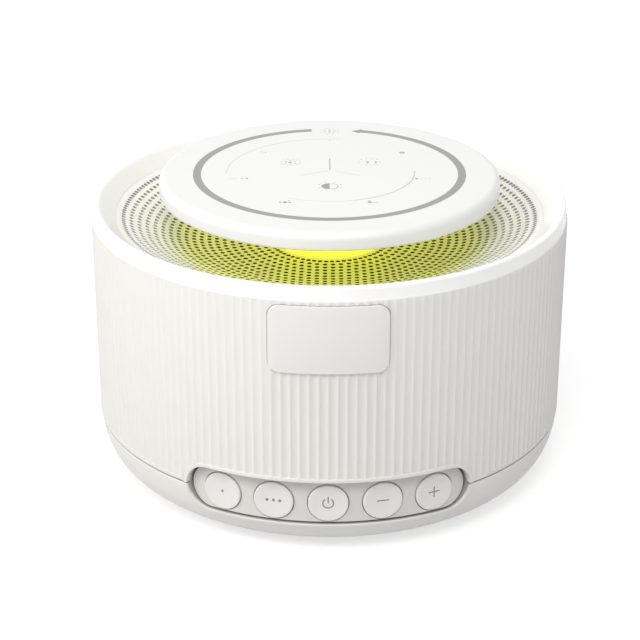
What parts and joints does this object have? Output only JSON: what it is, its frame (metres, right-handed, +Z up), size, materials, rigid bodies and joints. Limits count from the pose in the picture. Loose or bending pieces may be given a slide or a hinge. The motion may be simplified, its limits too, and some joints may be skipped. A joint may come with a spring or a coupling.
{
  "type": "sound machine",
  "caption": "Round bedside sound machine with a fluted housing, a dished speaker grille lit from its hub, a floating dial and a row of push buttons.",
  "frame": {"origin": "middle of the ground plane under the feet, on the axis of the round body", "axes": "+Z up along the dial axis, -Y towards the front with the buttons, +X towards the plus button"},
  "size_m": [0.13, 0.1304, 0.0834],
  "materials": {
    "shell": "satin moulded plastic",
    "plate": "satin moulded plastic",
    "button": "satin moulded plastic",
    "grille": "satin moulded plastic",
    "dial": "soft gloss",
    "circuit_board": "solder mask",
    "white_board": "white solder mask",
    "black_plastic": "moulded",
    "steel": "zinc plated",
    "speaker_frame": "black paint",
    "magnet": "ferrite",
    "speaker_cone": "coated pulp",
    "rubber": "matt",
    "foot_rubber": "matt",
    "diffuser": "frosted, lit from inside",
    "led": "encapsulated"
  },
  "bodies": {
    "case": {"housing": "shell", "base": "shell", "front_plate": "plate", "button_panel": "shell", "switch_board": "circuit_board", "switches": "black_plastic", "grille": "grille", "light_tube": "diffuser", "led_board": "white_board", "leds": "led", "hub_bridge": "black_plastic", "bridge_screws": "steel", "encoder_body": "steel", "encoder_nut": "steel", "baffle": "black_plastic", "baffle_screws": "steel", "speaker_frame": "speaker_frame", "speaker_magnet": "magnet", "speaker_cone": "speaker_cone", "speaker_surround": "rubber", "speaker_screws": "steel", "main_board": "circuit_board", "board_parts": "black_plastic", "board_screws": "steel", "power_socket": "black_plastic", "case_screws": "steel", "foot_1": "foot_rubber", "foot_2": "foot_rubber", "foot_3": "foot_rubber", "foot_4": "foot_rubber"},
    "dial_knob": {"dial": "dial", "dial_cover": "dial", "encoder_shaft": "steel"},
    "button_dot_key": {"button_dot": "button"},
    "button_dots_key": {"button_dots": "button"},
    "button_power_key": {"button_power": "button"},
    "button_minus_key": {"button_minus": "button"},
    "button_plus_key": {"button_plus": "button"}
  },
  "joints": [
    {"name": "dial_turn", "type": "hinge", "parent": "case", "child": "dial_knob", "pos_m": [0, 0, 0.08], "axis": [0, 0, 1], "continuous": true},
    {"name": "press_dot", "type": "slide", "parent": "case", "child": "button_dot_key", "axis": [0.4352, 0.9003, 0], "range_m": [0, 0.0008], "stiffness_N_per_m": 1500, "springref_m": -0.0008},
    {"name": "press_dots", "type": "slide", "parent": "case", "child": "button_dots_key", "axis": [0.2233, 0.9748, 0], "range_m": [0, 0.0008], "stiffness_N_per_m": 1500, "springref_m": -0.0008},
    {"name": "press_power", "type": "slide", "parent": "case", "child": "button_power_key", "axis": [0, 1, 0], "range_m": [0, 0.0008], "stiffness_N_per_m": 1500, "springref_m": -0.0008},
    {"name": "press_minus", "type": "slide", "parent": "case", "child": "button_minus_key", "axis": [-0.2233, 0.9748, 0], "range_m": [0, 0.0008], "stiffness_N_per_m": 1500, "springref_m": -0.0008},
    {"name": "press_plus", "type": "slide", "parent": "case", "child": "button_plus_key", "axis": [-0.4352, 0.9003, 0], "range_m": [0, 0.0008], "stiffness_N_per_m": 1500, "springref_m": -0.0008}
  ]
}
